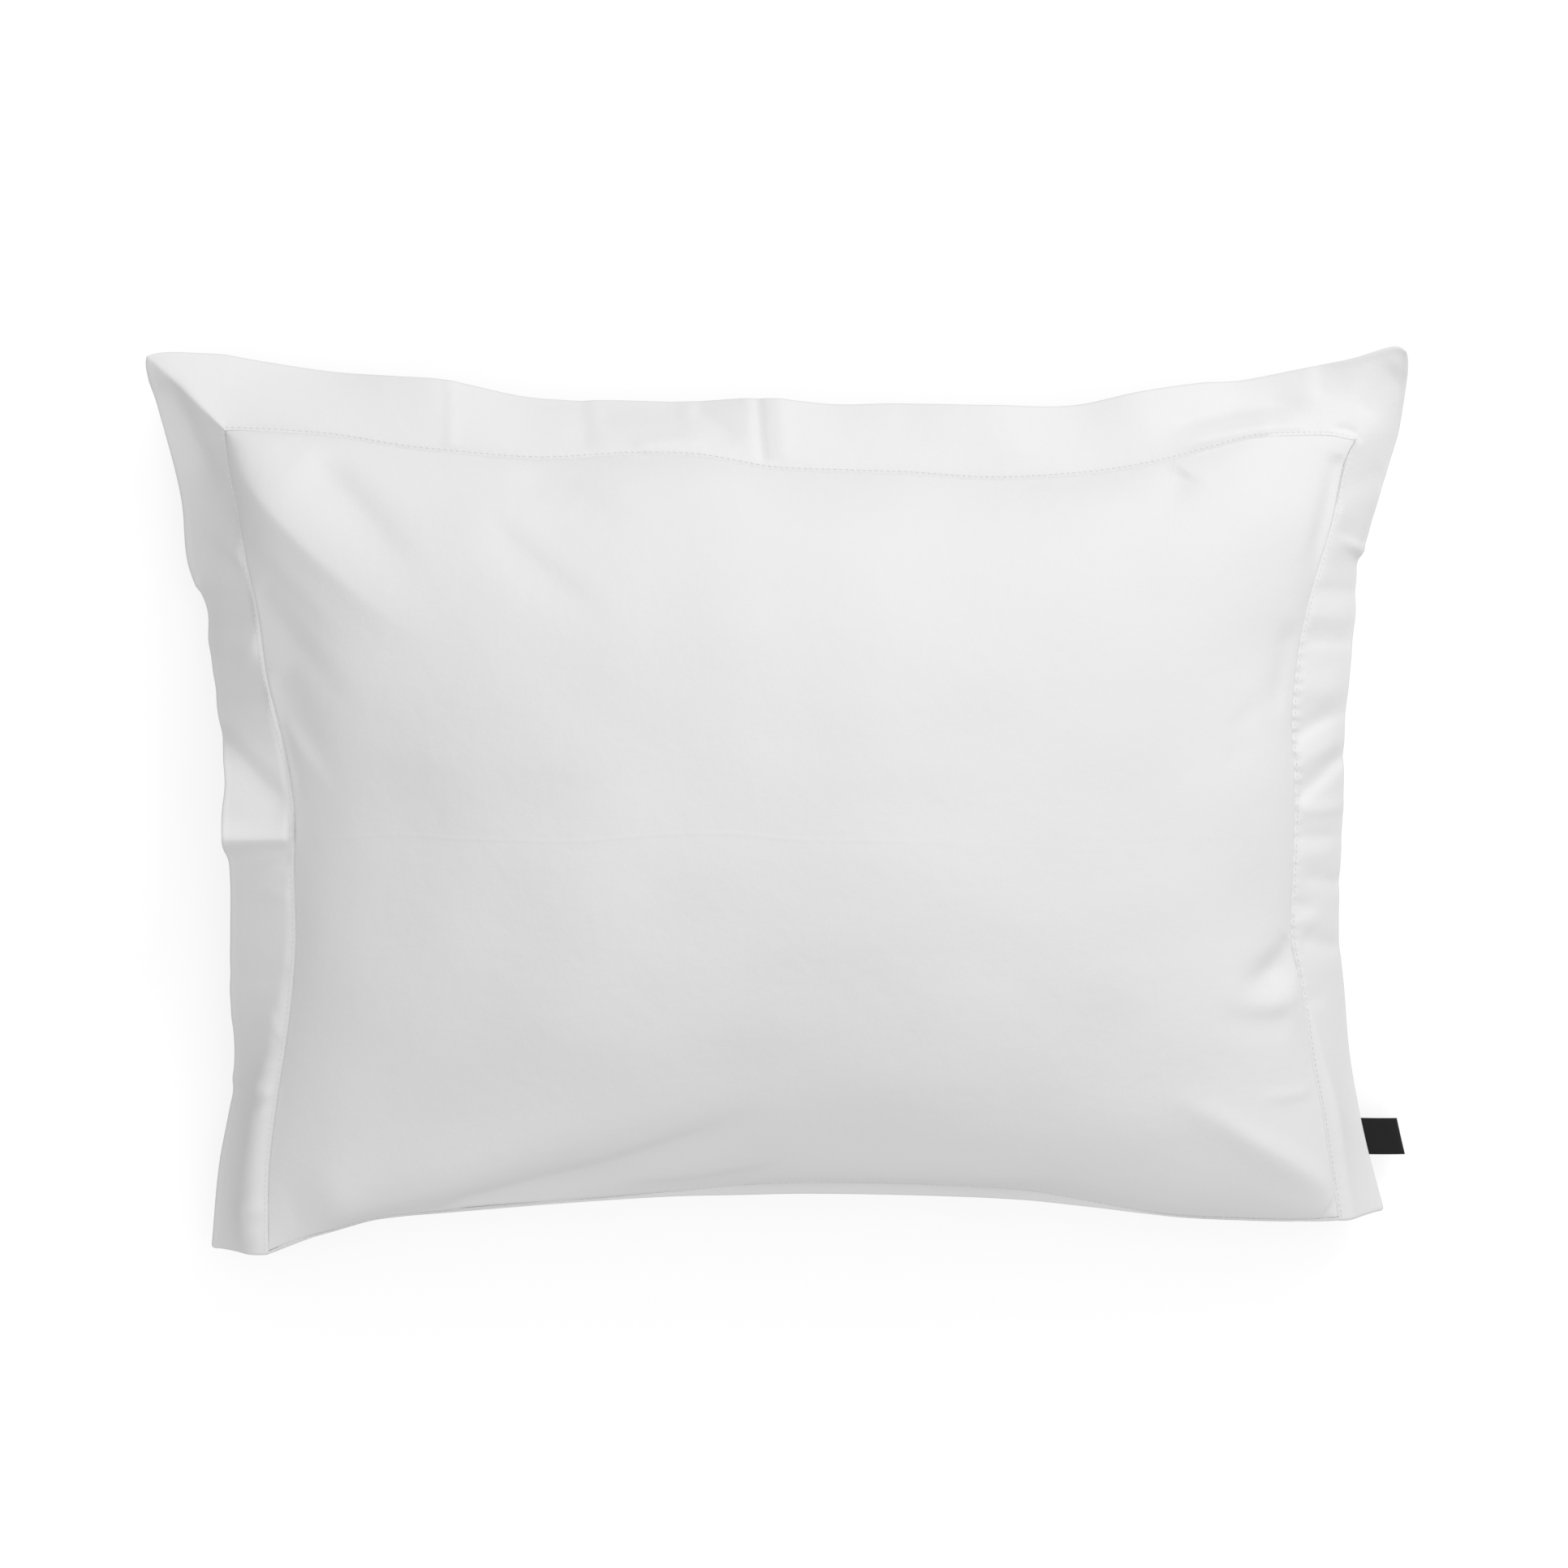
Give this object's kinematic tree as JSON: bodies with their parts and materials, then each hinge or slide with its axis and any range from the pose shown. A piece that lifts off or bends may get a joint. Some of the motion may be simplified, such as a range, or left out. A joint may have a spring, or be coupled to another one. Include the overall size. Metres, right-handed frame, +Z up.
{
  "type": "pillowcase",
  "caption": "Filled pillowcase lying on its back: crowned face, drawn-in seam, flat flange round it that is turned under along the lower edge, and a small bare tab.",
  "frame": {"origin": "on the surface it lies on, under the middle of the whole part's box", "axes": "+X along the length, towards the side with the tab; +Y across the face, towards the edge opposite the turned-under flange; +Z up out of the face"},
  "size_m": [0.7924, 0.5564, 0.1629],
  "materials": {
    "cotton_face": "smooth plain white cotton",
    "cotton_flange": "smooth plain white cotton, two plies",
    "black_tape": "woven black tape, bare"
  },
  "bodies": {
    "root": {"filled_case": "cotton_face", "flange": "cotton_flange", "label_tab": "black_tape"}
  },
  "joints": []
}
